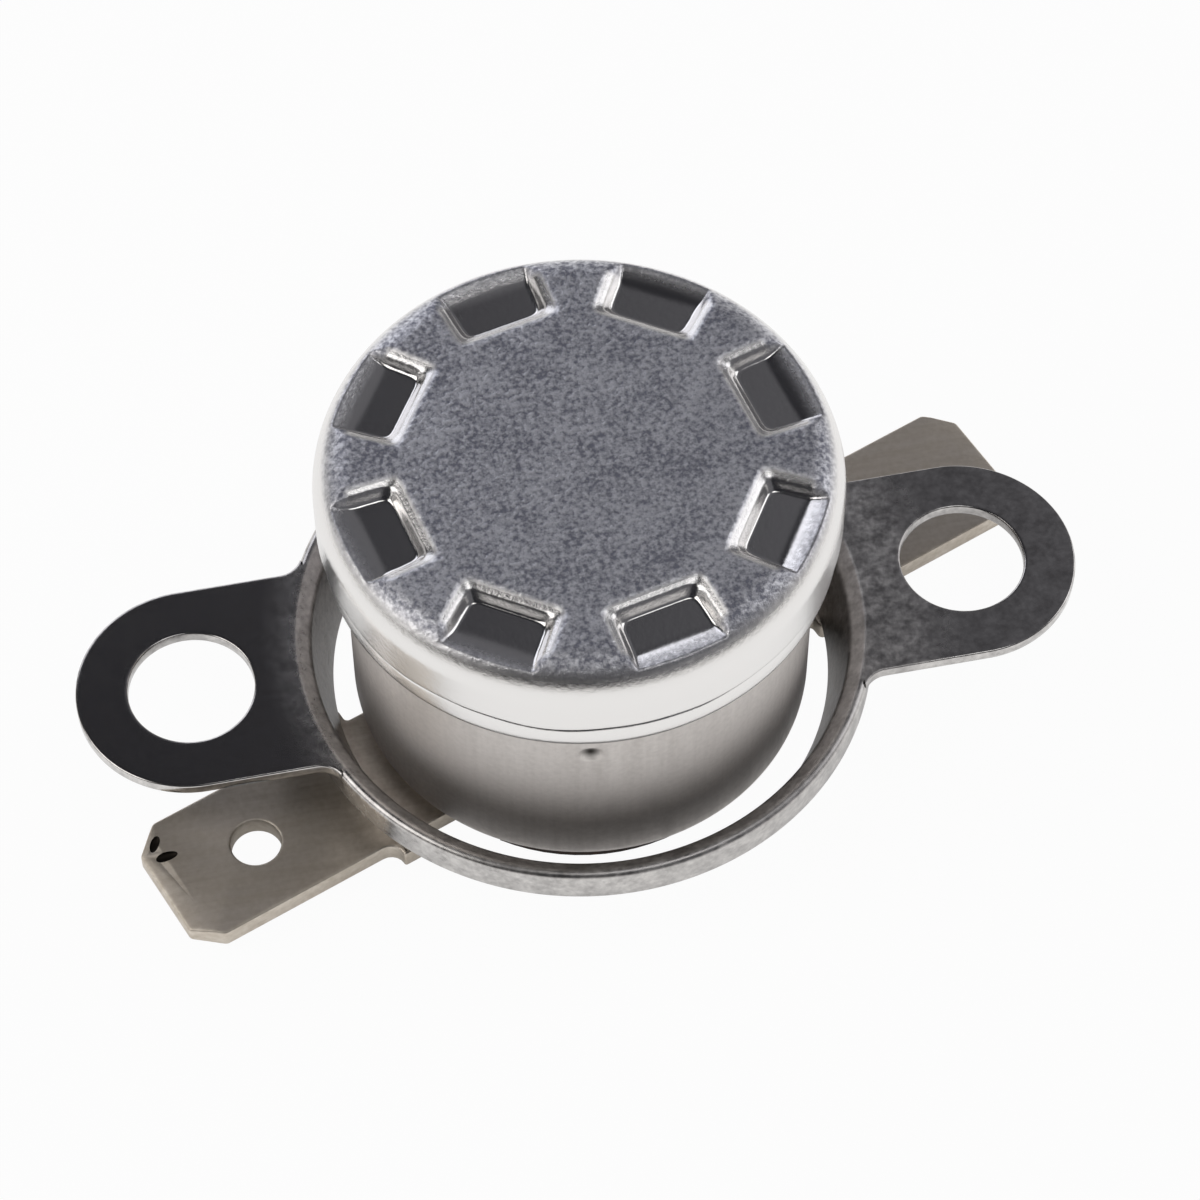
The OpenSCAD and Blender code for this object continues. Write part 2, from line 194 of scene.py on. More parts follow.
def round_corners(corners: Sequence[Corner], steps: int = 6) -> list[Point]:
    """Round each corner of a closed outline by its own radius.

    Args:
        corners: Corners as x, y and radius.
        steps: Number of chords in each rounded corner.

    Returns:
        Points of the rounded outline.
    """
    outline: list[Point] = []
    count = len(corners)
    for i, (x, y, radius) in enumerate(corners):
        here = Vector((x, y))
        back = Vector(corners[i - 1][:2]) - here
        ahead = Vector(corners[(i + 1) % count][:2]) - here
        half = back.angle(ahead) / 2
        if radius <= 0 or abs(half - math.pi / 2) < 1e-4:
            outline.append((x, y))
            continue
        room = 0.82 * min(back.length, ahead.length)
        reach = min(radius / math.tan(half), room)
        radius = reach * math.tan(half)
        middle = (back.normalized() + ahead.normalized()).normalized()
        centre = here + middle * (radius / math.sin(half))
        first = here + back.normalized() * reach - centre
        last = here + ahead.normalized() * reach - centre
        turn = first.angle_signed(last)
        for k in range(steps + 1):
            spoke = first.copy()
            spoke.rotate(Matrix.Rotation(-turn * k / steps, 2))
            outline.append((centre.x + spoke.x, centre.y + spoke.y))
    return outline


def lathe(name: str, profile: Sequence[Point], segments: int, closed: bool) -> Mesh:
    """Turn a profile of radius and height round the Z axis.

    Args:
        name: Name of the mesh.
        profile: Radius and height of each point in millimetres, anticlockwise seen with +r right
            and +z up.
        segments: Number of steps round the axis.
        closed: Whether the last point joins the first. An open profile starts and ends on the axis.

    Returns:
        A closed mesh in metres.
    """
    verts: list[tuple[float, float, float]] = []
    rings: list[list[int]] = []
    for radius, z in profile:
        if radius < ON_AXIS:
            rings.append([len(verts)] * segments)
            verts.append((0.0, 0.0, z * MM))
            continue
        rings.append(list(range(len(verts), len(verts) + segments)))
        for k in range(segments):
            a = 2 * math.pi * k / segments
            verts.append((radius * math.cos(a) * MM, radius * math.sin(a) * MM, z * MM))
    faces: list[tuple[int, ...]] = []
    for i in range(len(rings) if closed else len(rings) - 1):
        low, high = rings[i], rings[(i + 1) % len(rings)]
        for k in range(segments):
            n = (k + 1) % segments
            quad = [low[k], low[n], high[n], high[k]]
            faces.append(tuple(dict.fromkeys(quad)))
    mesh = bpy.data.meshes.new(name)
    mesh.from_pydata(verts, [], faces)
    return mesh


def plate(
    name: str,
    outline: Sequence[Point],
    holes: Sequence[Sequence[Point]],
    low: float,
    high: float,
    edge: float,
) -> Mesh:
    """Make a flat plate with rounded edges and holes.

    Args:
        name: Name of the mesh.
        outline: Outside of the plate, anticlockwise, in millimetres.
        holes: Outlines of the holes, anticlockwise.
        low: Height of the lower face.
        high: Height of the upper face.
        edge: Radius of the rounded edges.

    Returns:
        A closed mesh in metres.
    """
    steps = 4
    quarter = [math.pi / 2 * k / steps for k in range(steps + 1)]
    rounding = [(edge * (1 - math.sin(a)), edge * (1 - math.cos(a))) for a in quarter]
    levels = [(2 * edge, low)]
    levels += [(inset, low + rise) for inset, rise in rounding]
    levels += [(inset, high - rise) for inset, rise in reversed(rounding)]
    levels += [(2 * edge, high)]
    bm = bmesh.new()
    ends: tuple[list[bmesh.types.BMEdge], list[bmesh.types.BMEdge]] = ([], [])
    for loop in [list(outline)] + [list(reversed(hole)) for hole in holes]:
        count = len(loop)
        inward = []
        for i, point in enumerate(loop):
            before = (Vector(point) - Vector(loop[i - 1])).normalized()
            after = (Vector(loop[(i + 1) % count]) - Vector(point)).normalized()
            along = (before + after).normalized()
            inward.append(Vector((-along.y, along.x)) / max(along.dot(after), 0.5))
        rings = [
            [
                bm.verts.new(((p[0] + n.x * inset) * MM, (p[1] + n.y * inset) * MM, z * MM))
                for p, n in zip(loop, inward)
            ]
            for inset, z in levels
        ]
        for lower, upper in zip(rings, rings[1:]):
            for k in range(count):
                n = (k + 1) % count
                bm.faces.new((lower[k], lower[n], upper[n], upper[k]))
        for side, ring in zip(ends, (rings[0], rings[-1])):
            side.extend(bm.edges.get((ring[k], ring[(k + 1) % count])) for k in range(count))
    for side in ends:
        bmesh.ops.triangle_fill(bm, edges=side, use_beauty=True)
    bmesh.ops.recalc_face_normals(bm, faces=bm.faces)
    mesh = bpy.data.meshes.new(name)
    bm.to_mesh(mesh)
    bm.free()
    return mesh


def shade_smooth(mesh: Mesh, angle: float = 40.0) -> None:
    """Shade a mesh smooth, apart from edges sharper than an angle in degrees."""
    mesh.shade_smooth()
    mesh.set_sharp_from_angle(angle=math.radians(angle))


def add_object(name: str, mesh: Mesh) -> Object:
    """Put a mesh into the scene as an object at the origin.

    Args:
        name: Name of the object.
        mesh: Its mesh, with its place in its vertices.

    Returns:
        The new object.
    """
    obj = bpy.data.objects.new(name, mesh)
    bpy.context.scene.collection.objects.link(obj)
    return obj


def bake_modifiers(obj: Object) -> None:
    """Turn an object's modifiers into plain mesh and remove them.

    Args:
        obj: The object.
    """
    bpy.context.view_layer.update()
    result = obj.evaluated_get(bpy.context.evaluated_depsgraph_get())
    mesh = bpy.data.meshes.new_from_object(result)
    mesh.name = obj.data.name
    obj.modifiers.clear()
    obj.data = mesh


def combine(obj: Object, mesh: Mesh, operation: str) -> None:
    """Join a closed mesh to an object or cut it away.

    Args:
        obj: The object that stays.
        mesh: The other shape.
        operation: UNION or DIFFERENCE.
    """
    other = add_object(mesh.name, mesh)
    step = obj.modifiers.new(mesh.name, "BOOLEAN")
    step.operation = operation
    step.solver = "EXACT"
    step.object = other
    bake_modifiers(obj)
    bpy.data.objects.remove(other)


def start_tree(name: str, inputs: dict[str, str]) -> NodeTree:
    """Start a geometry node tree with its inputs and its output.

    Args:
        name: Name of the tree.
        inputs: Socket type of each named input.

    Returns:
        The tree.
    """
    tree = bpy.data.node_groups.new(name, "GeometryNodeTree")
    for way in ("INPUT", "OUTPUT"):
        tree.interface.new_socket("Geometry", in_out=way, socket_type="NodeSocketGeometry")
    for label, kind in inputs.items():
        tree.interface.new_socket(label, in_out="INPUT", socket_type=kind)
    return tree


def run_tree(obj: Object, tree: NodeTree, values: dict[str, Any]) -> None:
    """Run a geometry node tree on an object and keep its result as plain mesh.

    Args:
        obj: The object.
        tree: The tree.
        values: Value of each named input.
    """
    step = obj.modifiers.new(tree.name, "NODES")
    step.node_group = tree
    for item in tree.interface.items_tree:
        if item.item_type == "SOCKET" and item.in_out == "INPUT" and item.name in values:
            step[item.identifier] = values[item.name]
    bake_modifiers(obj)


def seat_piece(obj: Object, body: Body, slot: Slot, *nodes: str) -> Object:
    """Let a finished piece stand for its CAD nodes.

    Args:
        obj: The piece, finished and in place.
        body: Body that it rides on.
        slot: Material slot of the record; not used.
        nodes: CAD nodes that it replaces.

    Returns:
        The same piece.
    """
    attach(obj, body.value)
    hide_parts(*nodes)
    count = len(obj.data.polygons)
    LOG.info("%s: %d faces on %s, for %s", obj.name, count, body.value, ", ".join(nodes))
    return obj


# Finishes


def start_material(name: str) -> tuple[NodeTree, NodeSocket]:
    """Start a material.

    Args:
        name: Name of the material.

    Returns:
        Its node tree and its object coordinates.
    """
    material = bpy.data.materials.new(name)
    material.use_nodes = True
    tree = material.node_tree
    return tree, add_node(tree, "ShaderNodeTexCoord").outputs["Object"]


def end_material(name: str, metallic: float, tone: Node, gloss: Node, bump: Node) -> Material:
    """Join a material's patterns to its shader.

    Args:
        name: Name of the material.
        metallic: 1 for bare metal, 0 for anything else.
        tone: Mix that gives its colour.
        gloss: Node that gives its roughness.
        bump: Node that gives its relief.

    Returns:
        The finished material.
    """
    material = bpy.data.materials[name]
    links, sockets = material.node_tree.links, material.node_tree.nodes["Principled BSDF"].inputs
    sockets["Metallic"].default_value = metallic
    links.new(tone.outputs[2], sockets["Base Color"])
    links.new(gloss.outputs[0], sockets["Roughness"])
    links.new(bump.outputs[0], sockets["Normal"])
    return material


@dataclass(frozen=True)
class StampedAluminium:
    """Soft aluminium sheet: fine orange peel on its face, burnished side and pocket floors."""

    name: str = "stamped_aluminium"
    light: str = "#ebebf0"
    dark: str = "#8b8c97"
    burnished: str = "#ebe9e7"
    face: float = 12.73
    fade: float = 0.5
    fade_end: float = 0.1
    peel_mm: float = 0.17
    cloud_mm: float = 1.6
    smooth: float = 0.34
    rough: float = 0.56
    burnish: float = 0.26
    pressed: float = 0.15
    peel_depth_mm: float = 0.045
    drawn_share: float = 0.3
    ironed_share: float = 0.2
    bump: float = 0.8
    ramp_at: float = 6.7
    ramp_fade: float = 0.2
    edge_sunk: Point = (0.02, 0.14)
    wall_sunk: Point = (0.1, 0.5)
    sunk_peel: float = 0.12
    cloud_share: float = 0.25
    contrast: Point = (0.41, 0.59)
    gloss_span: Point = (0.35, 0.65)

    def material(self) -> Material:
        """Build the material.

        Returns:
            The material.
        """
        tree, place = start_material(self.name)
        node = partial(add_node, tree)
        height = node(SEPARATE, (place,)).outputs["Z"]
        on_face = node(
            RANGE,
            (height, (self.face - self.fade) * MM, (self.face - self.fade_end) * MM),
            interpolation_type="SMOOTHSTEP",
        )
        sunk = node("ShaderNodeAttribute", attribute_name="sunk").outputs["Fac"]
        plain = node(RANGE, (sunk, *self.edge_sunk, 1.0, self.sunk_peel))
        flat = node(VECTOR, (place, (1.0, 1.0, 0.0)), operation="MULTIPLY")
        out = node(VECTOR, (flat,), operation="LENGTH").outputs["Value"]
        ramp = node(RANGE, (out, self.ramp_at * MM, (self.ramp_at + self.ramp_fade) * MM))
        plain = node(MATH, (plain, ramp), operation="MAXIMUM")
        on_face = node(MATH, (on_face, plain), operation="MULTIPLY")
        peel = node(
            NOISE,
            {"Vector": place, "Scale": per_metre(self.peel_mm), "Detail": 4.0, "Roughness": 0.66},
        )
        cloud = node(NOISE, {"Vector": place, "Scale": per_metre(self.cloud_mm), "Detail": 3.0})
        mixed = node(MATH, (peel, 1 - self.cloud_share), operation="MULTIPLY")
        mixed = node(MATH, (cloud, self.cloud_share, mixed), operation="MULTIPLY_ADD")
        spread = node(RANGE, (mixed, *self.contrast))
        tone = node(MIX, {0: spread, 6: linear(self.dark), 7: linear(self.light)}, data_type="RGBA")
        tone = node(
            MIX, {0: on_face, 6: linear(self.burnished), 7: tone.outputs[2]}, data_type="RGBA"
        )
        gloss = node(RANGE, (mixed, *self.gloss_span, self.rough, self.smooth))
        worked = node(RANGE, (sunk, *self.wall_sunk, self.burnish, self.pressed))
        gloss = node(MIX, {0: on_face, 2: worked, 3: gloss})
        deep = node(RANGE, {0: on_face, 3: self.drawn_share, 4: 1.0})
        ironed = node(RANGE, {0: sunk, 3: 1.0, 4: self.ironed_share})
        relief = node(MATH, (peel, deep), operation="MULTIPLY")
        relief = node(MATH, (relief, ironed), operation="MULTIPLY")
        bump = node(
            BUMP, {"Height": relief, "Distance": self.peel_depth_mm * MM, "Strength": self.bump}
        )
        return end_material(self.name, 1.0, tone, gloss, bump)


@dataclass(frozen=True)
class DrawnMetal:
    """Sheet metal drawn or rolled one way: faint streaks along the draw, a sheen and slow waves."""

    name: str
    light: str
    dark: str
    streak_mm: Point
    smooth: float
    rough: float
    turn: float = 0.0
    along_z: bool = False
    grain_mm: float = 0.18
    grain_depth_mm: float = 0.002
    wave_mm: float = 3.0
    wave_depth_mm: float = 0.0
    formed_x: float = 1.2
    formed_r: float = 0.0
    formed: float = 0.0
    formed_fade: float = 2.0
    formed_least: float = 0.4
    grain_share: float = 0.4
    contrast: Point = (0.36, 0.64)
    gloss_span: Point = (0.35, 0.65)
    bump: float = 0.5
    # Colour laid into dark marks: painted shade in the sleeve's punched mark, and a plain darkening
    # in the tabs' gouges
    nick: str = "#2b2723"

    def material(self) -> Material:
        """Build the material.

        Returns:
            The material.
        """
        tree, place = start_material(self.name)
        node = partial(add_node, tree)
        # Real draw and rolling lines are well under 0.1 mm apart, too fine to show here, so the
        # streaks are drawn coarser
        across, along = (per_metre(s) for s in self.streak_mm)
        scale = (across, across, along) if self.along_z else (along, across, across)
        mapped = node(
            "ShaderNodeMapping",
            {"Vector": place, "Rotation": (0, 0, -math.radians(self.turn)), "Scale": scale},
        )
        streak = node(NOISE, {"Vector": mapped, "Scale": 1.0, "Detail": 4.0, "Roughness": 0.6})
        grain = node(NOISE, {"Vector": place, "Scale": per_metre(self.grain_mm), "Detail": 2.0})
        mixed = node(MATH, (streak, 1 - self.grain_share), operation="MULTIPLY")
        mixed = node(MATH, (grain, self.grain_share, mixed), operation="MULTIPLY_ADD")
        spread = node(RANGE, (mixed, *self.contrast))
        tone = node(MIX, {0: spread, 6: linear(self.dark), 7: linear(self.light)}, data_type="RGBA")
        # Faces in a dark mark take the dark colour, which in the sleeve's punched mark is painted
        # shade
        in_dark_mark = node("ShaderNodeAttribute", attribute_name="nick").outputs["Fac"]
        tone = node(MIX, {0: in_dark_mark, 6: tone.outputs[2], 7: linear(self.nick)}, data_type="RGBA")
        gloss = node(RANGE, (mixed, *self.gloss_span, self.rough, self.smooth))
        flat = node(
            VECTOR,
            (place, (1.0, 1.0, 0.0), (-self.formed_x * MM, 0.0, 0.0)),
            operation="MULTIPLY_ADD",
        )
        out = node(VECTOR, (flat,), operation="LENGTH").outputs["Value"]
        formed_in = (self.formed_r - self.formed_fade) * MM
        inner = node(RANGE, (out, formed_in, self.formed_r * MM, self.formed, 0.0))
        worked = node(MATH, (inner, spread, gloss), operation="MULTIPLY_ADD")
        gloss = node(MATH, (inner, self.formed_least, worked), operation="MULTIPLY_ADD")
        wave = node(NOISE, {"Vector": place, "Scale": per_metre(self.wave_mm), "Detail": 1.0})
        swell = node(BUMP, {"Height": wave, "Distance": self.wave_depth_mm * MM})
        bump = node(
            BUMP,
            {
                "Height": mixed,
                "Distance": self.grain_depth_mm * MM,
                "Strength": self.bump,
                "Normal": swell,
            },
        )
        return end_material(self.name, 1.0, tone, gloss, bump)


@dataclass(frozen=True)
class Moulding:
    """Filled thermoset or fired ceramic: a matt body with fine flecks of its filler."""

    name: str
    body: str
    fleck: str
    fleck_mm: float
    rough: float
    depth_mm: float = 0.01
    flecked: Point = (0.5, 0.75)
    gloss_span: Point = (0.3, 0.7)
    gloss_by: float = 0.08
    bump: float = 0.4

    def material(self) -> Material:
        """Build the material.

        Returns:
            The material.
        """
        tree, place = start_material(self.name)
        node = partial(add_node, tree)
        noise = node(NOISE, {"Vector": place, "Scale": per_metre(self.fleck_mm), "Detail": 4.0})
        spread = node(RANGE, (noise, *self.flecked))
        tone = node(MIX, {0: spread, 6: linear(self.body), 7: linear(self.fleck)}, data_type="RGBA")
        gloss = node(
            RANGE, (noise, *self.gloss_span, self.rough - self.gloss_by, self.rough + self.gloss_by)
        )
        bump = node(BUMP, {"Height": noise, "Distance": self.depth_mm * MM, "Strength": self.bump})
        return end_material(self.name, 0.0, tone, gloss, bump)


def finish_for(slot: Slot) -> Material:
    """Return the material of a slot, built on first use.

    Args:
        slot: Material slot of the record.

    Returns:
        The slot's material.
    """
    finish = {
        # Drawn cup with a stamped face: speckled grey on top, bright and smooth round the side.
        Slot.CAP: StampedAluminium(),
        # Drawn upwards through a die, so its streaks run up the wall.
        Slot.SLEEVE: DrawnMetal(
            "drawn_aluminium", "#e2ddd9", "#d3ceca", (0.5, 9.0), 0.50, 0.60, along_z=True
        ),
        # Two strips rolled together: a dull warm grey with fine streaks.
        Slot.BIMETAL: DrawnMetal("rolled_bimetal", "#b3a284", "#94866c", (0.2, 3.0), 0.30, 0.42),
        # Phenolic moulding with wood filler: matt brown with paler flecks.
        Slot.PHENOLIC: Moulding("moulded_phenolic", "#3b2a22", "#5a4334", 0.25, 0.42),
        # Pressed and fired without a glaze: a matt cream body.
        Slot.CERAMIC: Moulding("fired_ceramic", "#ece7dc", "#d8d0c0", 0.15, 0.60),
        # Rolled spring strip: a warm sheen, streaked along its length.
        Slot.BRONZE: DrawnMetal(
            "rolled_bronze", "#c4935a", "#9a703f", (0.15, 3.0), 0.24, 0.36, TAB_TURN
        ),
        # Headed contact metal: a pale shine with small marks.
        Slot.SILVER: DrawnMetal("headed_silver", "#dddcd8", "#bdbcb8", (0.2, 0.8), 0.20, 0.34),
        # Turned and headed bright: a yellow shine with short marks.
        Slot.BRASS: DrawnMetal("headed_brass", "#c9ad68", "#a1854a", (0.2, 0.8), 0.22, 0.36),
        # Rolled brass strip under a dull tin plate, so a little warmth shows through.
        Slot.TAB: DrawnMetal(
            "tinned_brass", "#e0d7cb", "#cbc1b3", (0.3, 5.0), 0.46, 0.54, TAB_TURN,
            wave_mm=5.0, wave_depth_mm=0.3,
        ),
        # Bright nickel over cold-rolled sheet: a mirror on the ears, duller where it was formed.
        Slot.BRACKET: DrawnMetal(
            "nickel_plated_steel", "#dcd9d6", "#adaaa8", (0.5, 0.6), 0.12, 0.20,
            formed_r=11.0, formed=0.24,
        ),
    }[slot]
    return bpy.data.materials.get(finish.name) or finish.material()


def coat(mesh: Mesh, slot: Slot) -> None:
    """Give a mesh its slot's finish and no other."""
    mesh.materials.clear()
    mesh.materials.append(finish_for(slot))


# Pieces


@dataclass
class SensingCap:
    """Drawn cap with pressed pockets, a crimp groove and a rolled lip."""

    radius: float = 7.75
    face: float = 12.73
    lip: float = 8.93
    wall: float = 0.35
    rim: float = 1.2
    lip_roll: float = 0.6
    lip_step: float = 0.1
    groove: float = 10.23
    groove_w: float = 0.12
    groove_depth: float = 0.1
    lip_bore: float = 7.05
    flange: float = 9.28
    crimp: float = 7.30
    pocket_count: int = 8
    pocket_turn: float = 12.8
    pocket_in: float = 5.25
    pocket_out: float = 8.1
    pocket_w_in: float = 2.7
    pocket_w_out: float = 3.12
    pocket_depth: float = 0.45
    pocket_lean: float = 0.2
    pocket_ramp: float = 1.5
    pocket_corner: float = 0.5
    pocket_edge_w: float = 0.32
    pocket_edge_drop: float = 0.15
    pocket_soft: float = 0.06
    crease: float = 0.05
    wander: float = 0.09
    wander_mm: float = 3.5
    fold_r: float = 0.12
    wander_span: Point = (0.3, 0.7)
    wander_near: Point = (0.2, 0.9)
    lip_edge: float = 0.14
    plain_r: float = 4.9
    segments: int = 720

    def shell(self) -> Mesh:
        """Turn the cap's plain shell, with an attribute on the sheet that the pockets press.

        Returns:
            The shell's mesh.
        """
        flat = self.radius - self.rim
        rim_z = self.face - self.rim
        lip_r = self.radius - self.lip_step
        inner = self.radius - self.wall
        roof = self.face - self.wall
        inside: list[Point] = span((0, roof), (self.plain_r, roof), 3)
        inside += span((self.plain_r, roof), (flat, roof), 8)
        inside += arc((flat, rim_z), self.rim - self.wall, 90, 0, 6)
        pressed_in = len(inside)
        lower = [
            (inner, self.groove),
            (self.crimp, self.groove),
            (self.crimp, self.flange),
            (self.lip_bore, self.flange),
            (self.lip_bore, self.lip),
        ]
        lower += arc((lip_r - self.lip_roll, self.lip + self.lip_roll), self.lip_roll, -90, 0, 12)
        neck = lip_r - self.groove_depth
        under = self.groove - self.groove_w
        lower += arc((lip_r - self.lip_edge, under - self.lip_edge), self.lip_edge, 0, 90, 6)
        lower += [(neck, under), (neck, self.groove)]
        lower += arc((self.radius - self.fold_r, self.groove + self.fold_r), self.fold_r, -90, 0, 6)
        outside = span((self.radius, self.groove + 2 * self.fold_r), (self.radius, rim_z), 3)
        outside += arc((flat, rim_z), self.rim, 0, 90, 26)[:-1]
        outside += span((flat, self.face), (self.plain_r, self.face), 46)
        outside += span((self.plain_r, self.face), (0, self.face), 5)
        outside.append((0, self.face))
        profile = inside + lower + outside
        mesh = lathe("sensing_cap_sheet", profile, self.segments, closed=False)
        press = mesh.attributes.new("press", "FLOAT", "POINT")
        flags: list[float] = []
        first_outside = len(inside) + len(lower)
        for i, (radius, _) in enumerate(profile):
            on_sheet = float(i < pressed_in or i >= first_outside)
            flags += [on_sheet] * (1 if radius < ON_AXIS else self.segments)
        press.data.foreach_set("value", flags)
        return mesh

    def pocket_tree(self, material: Material) -> tuple[NodeTree, dict[str, float]]:
        """Build the node tree that presses a ring of pockets into a turned sheet.

        Args:
            material: Material of the finished cap.

        Returns:
            The tree and the value of each named input.
        """
        sizes = {
            "Pockets": float(self.pocket_count),
            "Turn": math.radians(self.pocket_turn),
            "Inner end": self.pocket_in * MM,
            "Outer end": self.pocket_out * MM,
            "Inner width": self.pocket_w_in * MM,
            "Outer width": self.pocket_w_out * MM,
            "Depth": self.pocket_depth * MM,
            "Lean": self.pocket_lean * MM,
            "Ramp": self.pocket_ramp * MM,
            "Corner": self.pocket_corner * MM,
            "Edge width": self.pocket_edge_w * MM,
            "Edge drop": self.pocket_edge_drop * MM,
            "Soft": self.pocket_soft * MM,
            "Crease": self.crease * MM,
            "Cap radius": self.radius * MM,
            "Rim radius": self.rim * MM,
        }
        tree = start_tree("press_pockets", dict.fromkeys(sizes, "NodeSocketFloat"))
        node = partial(add_node, tree)
        given = node("NodeGroupInput").outputs
        spot = node("GeometryNodeInputPosition")
        place = node(SEPARATE, (spot,)).outputs
        flat = node(COMBINE, (place["X"], place["Y"]))
        known: dict[str, Any] = {name: given[name] for name in sizes}
        known |= {axis: place[axis] for axis in "XYZ"}
        known["radius"] = node(VECTOR, (flat,), operation="LENGTH").outputs["Value"]
        known["on_sheet"] = node(
            "GeometryNodeInputNamedAttribute", {"Name": "press"}, data_type="FLOAT"
        )
        # Each row is a value's name, the operation that gives it and what goes in
        steps = (
            # Polar place, folded so that every pocket is the same one
            ("angle", "ARCTAN2", "Y", "X"),
            ("angle", "SUBTRACT", "angle", "Turn"),
            ("pitch", "DIVIDE", math.tau, "Pockets"),
            ("half_pitch", "MULTIPLY", "pitch", 0.5),
            ("angle", "ADD", "angle", "half_pitch"),
            ("angle", "FLOORED_MODULO", "angle", "pitch"),
            ("angle", "SUBTRACT", "angle", "half_pitch"),
            ("cosine", "COSINE", "angle"),
            ("sine", "SINE", "angle"),
            ("out", "MULTIPLY", "radius", "cosine"),
            ("side", "MULTIPLY", "radius", "sine"),
            ("side", "ABSOLUTE", "side"),
            # Distance in from the floor's outline, with soft corners: below zero on the walls
            ("floor_in", "ADD", "Inner end", "Lean"),
            ("from_in", "SUBTRACT", "out", "floor_in"),
            ("past_in", "SUBTRACT", "out", "Inner end"),
            ("length", "SUBTRACT", "Outer end", "Inner end"),
            ("widens", "SUBTRACT", "Outer width", "Inner width"),
            ("flare", "DIVIDE", "widens", "length"),
            ("width", "MULTIPLY_ADD", "past_in", "flare", "Inner width"),
            ("half_width", "MULTIPLY", "width", 0.5),
            ("half_floor", "SUBTRACT", "half_width", "Lean"),
            ("from_side", "SUBTRACT", "half_floor", "side"),
            ("inset", "SMOOTH_MIN", "from_in", "from_side", "Corner"),
            # From the face down: a sloped edge, a steep wall, the floor, and a ramp out to the rim
            ("wall_drop", "SUBTRACT", "Depth", "Edge drop"),
            ("wall_slope", "DIVIDE", "wall_drop", "Lean"),
            ("wall", "MULTIPLY_ADD", "inset", "wall_slope", "Depth"),
            ("past_wall", "ADD", "inset", "Lean"),
            ("edge_slope", "DIVIDE", "Edge drop", "Edge width"),
            ("edge", "MULTIPLY_ADD", "past_wall", "edge_slope", "Edge drop"),
            ("from_out", "SUBTRACT", "Outer end", "out"),
            ("ramp_slope", "DIVIDE", "Depth", "Ramp"),
            ("ramp", "MULTIPLY", "from_out", "ramp_slope"),
            ("sunk", "SMOOTH_MAX", "edge", "wall", "Soft"),
            ("sunk", "SMOOTH_MIN", "sunk", "Depth", "Soft"),
            ("sunk", "SMOOTH_MIN", "sunk", "ramp", "Soft"),
            ("sunk", "SMOOTH_MAX", "sunk", 0.0, "Soft"),
            # The rim already falls away from the face, so it's pressed by so much less
            ("rim_at", "SUBTRACT", "Cap radius", "Rim radius"),
            ("past_rim", "SUBTRACT", "radius", "rim_at"),
            ("past_rim", "MAXIMUM", "past_rim", 0.0),
            ("past_rim", "DIVIDE", "past_rim", "Rim radius"),
            ("past_rim", "MULTIPLY", "past_rim", "past_rim"),
            ("left", "SUBTRACT", 1.0, "past_rim"),
            ("left", "MAXIMUM", "left", 0.0),
            ("left", "SQRT", "left"),
            ("fall", "SUBTRACT", 1.0, "left"),
            ("fall", "MULTIPLY", "fall", "Rim radius"),
            ("plain", "MULTIPLY", "fall", -1.0),
            ("pressed", "SUBTRACT", "sunk", "fall"),
            ("pressed", "SMOOTH_MAX", "pressed", 0.0, "Crease"),
            ("plain", "SMOOTH_MAX", "plain", 0.0, "Crease"),
            ("pressed", "SUBTRACT", "pressed", "plain"),
            ("pressed", "MULTIPLY", "pressed", "on_sheet"),
            ("down", "MULTIPLY", "pressed", -1.0),
            ("share", "DIVIDE", "pressed", "Depth"),
            ("off_groove", "SUBTRACT", "Z", self.groove * MM),
            ("off_groove", "ABSOLUTE", "off_groove"),
        )
        for name, operation, *terms in steps:
            known[name] = node(MATH, [known.get(t, t) for t in terms], operation=operation)

        # The crimp groove was rolled and not cut, so it wanders a little up and down
        wander = node(NOISE, {"Vector": spot, "Scale": per_metre(self.wander_mm), "Detail": 1.0})
        wander = node(RANGE, (wander, *self.wander_span, -self.wander * MM, self.wander * MM))
        near = node(
            RANGE,
            (known["off_groove"], self.wander_near[0] * MM, self.wander_near[1] * MM, 1.0, 0.0),
            interpolation_type="SMOOTHSTEP",
        )
        down = node(MATH, (wander, near, known["down"]), operation="MULTIPLY_ADD")
        offset = node(COMBINE, {"Z": down})
        marked = node(
            "GeometryNodeStoreNamedAttribute",
            {"Geometry": given["Geometry"], "Name": "sunk", "Value": known["share"]},
        )
        moved = node("GeometryNodeSetPosition", {"Geometry": marked, "Offset": offset})
        whole = node("GeometryNodeRealizeInstances", {"Geometry": moved})
        dressed = node("GeometryNodeSetMaterial", {"Geometry": whole, "Material": material})
        node("NodeGroupOutput", {"Geometry": dressed})
        return tree, sizes

    def build(self) -> Object:
        """Make the cap, press its pockets and seat it.

        Returns:
            The finished piece.
        """
        obj = add_object("sensing_cap_drawn", self.shell())
        tree, sizes = self.pocket_tree(finish_for(Slot.CAP))
        run_tree(obj, tree, sizes)
        shade_smooth(obj.data, 50)
        return seat_piece(obj, Body.CASE, Slot.CAP, "sensing_cap")


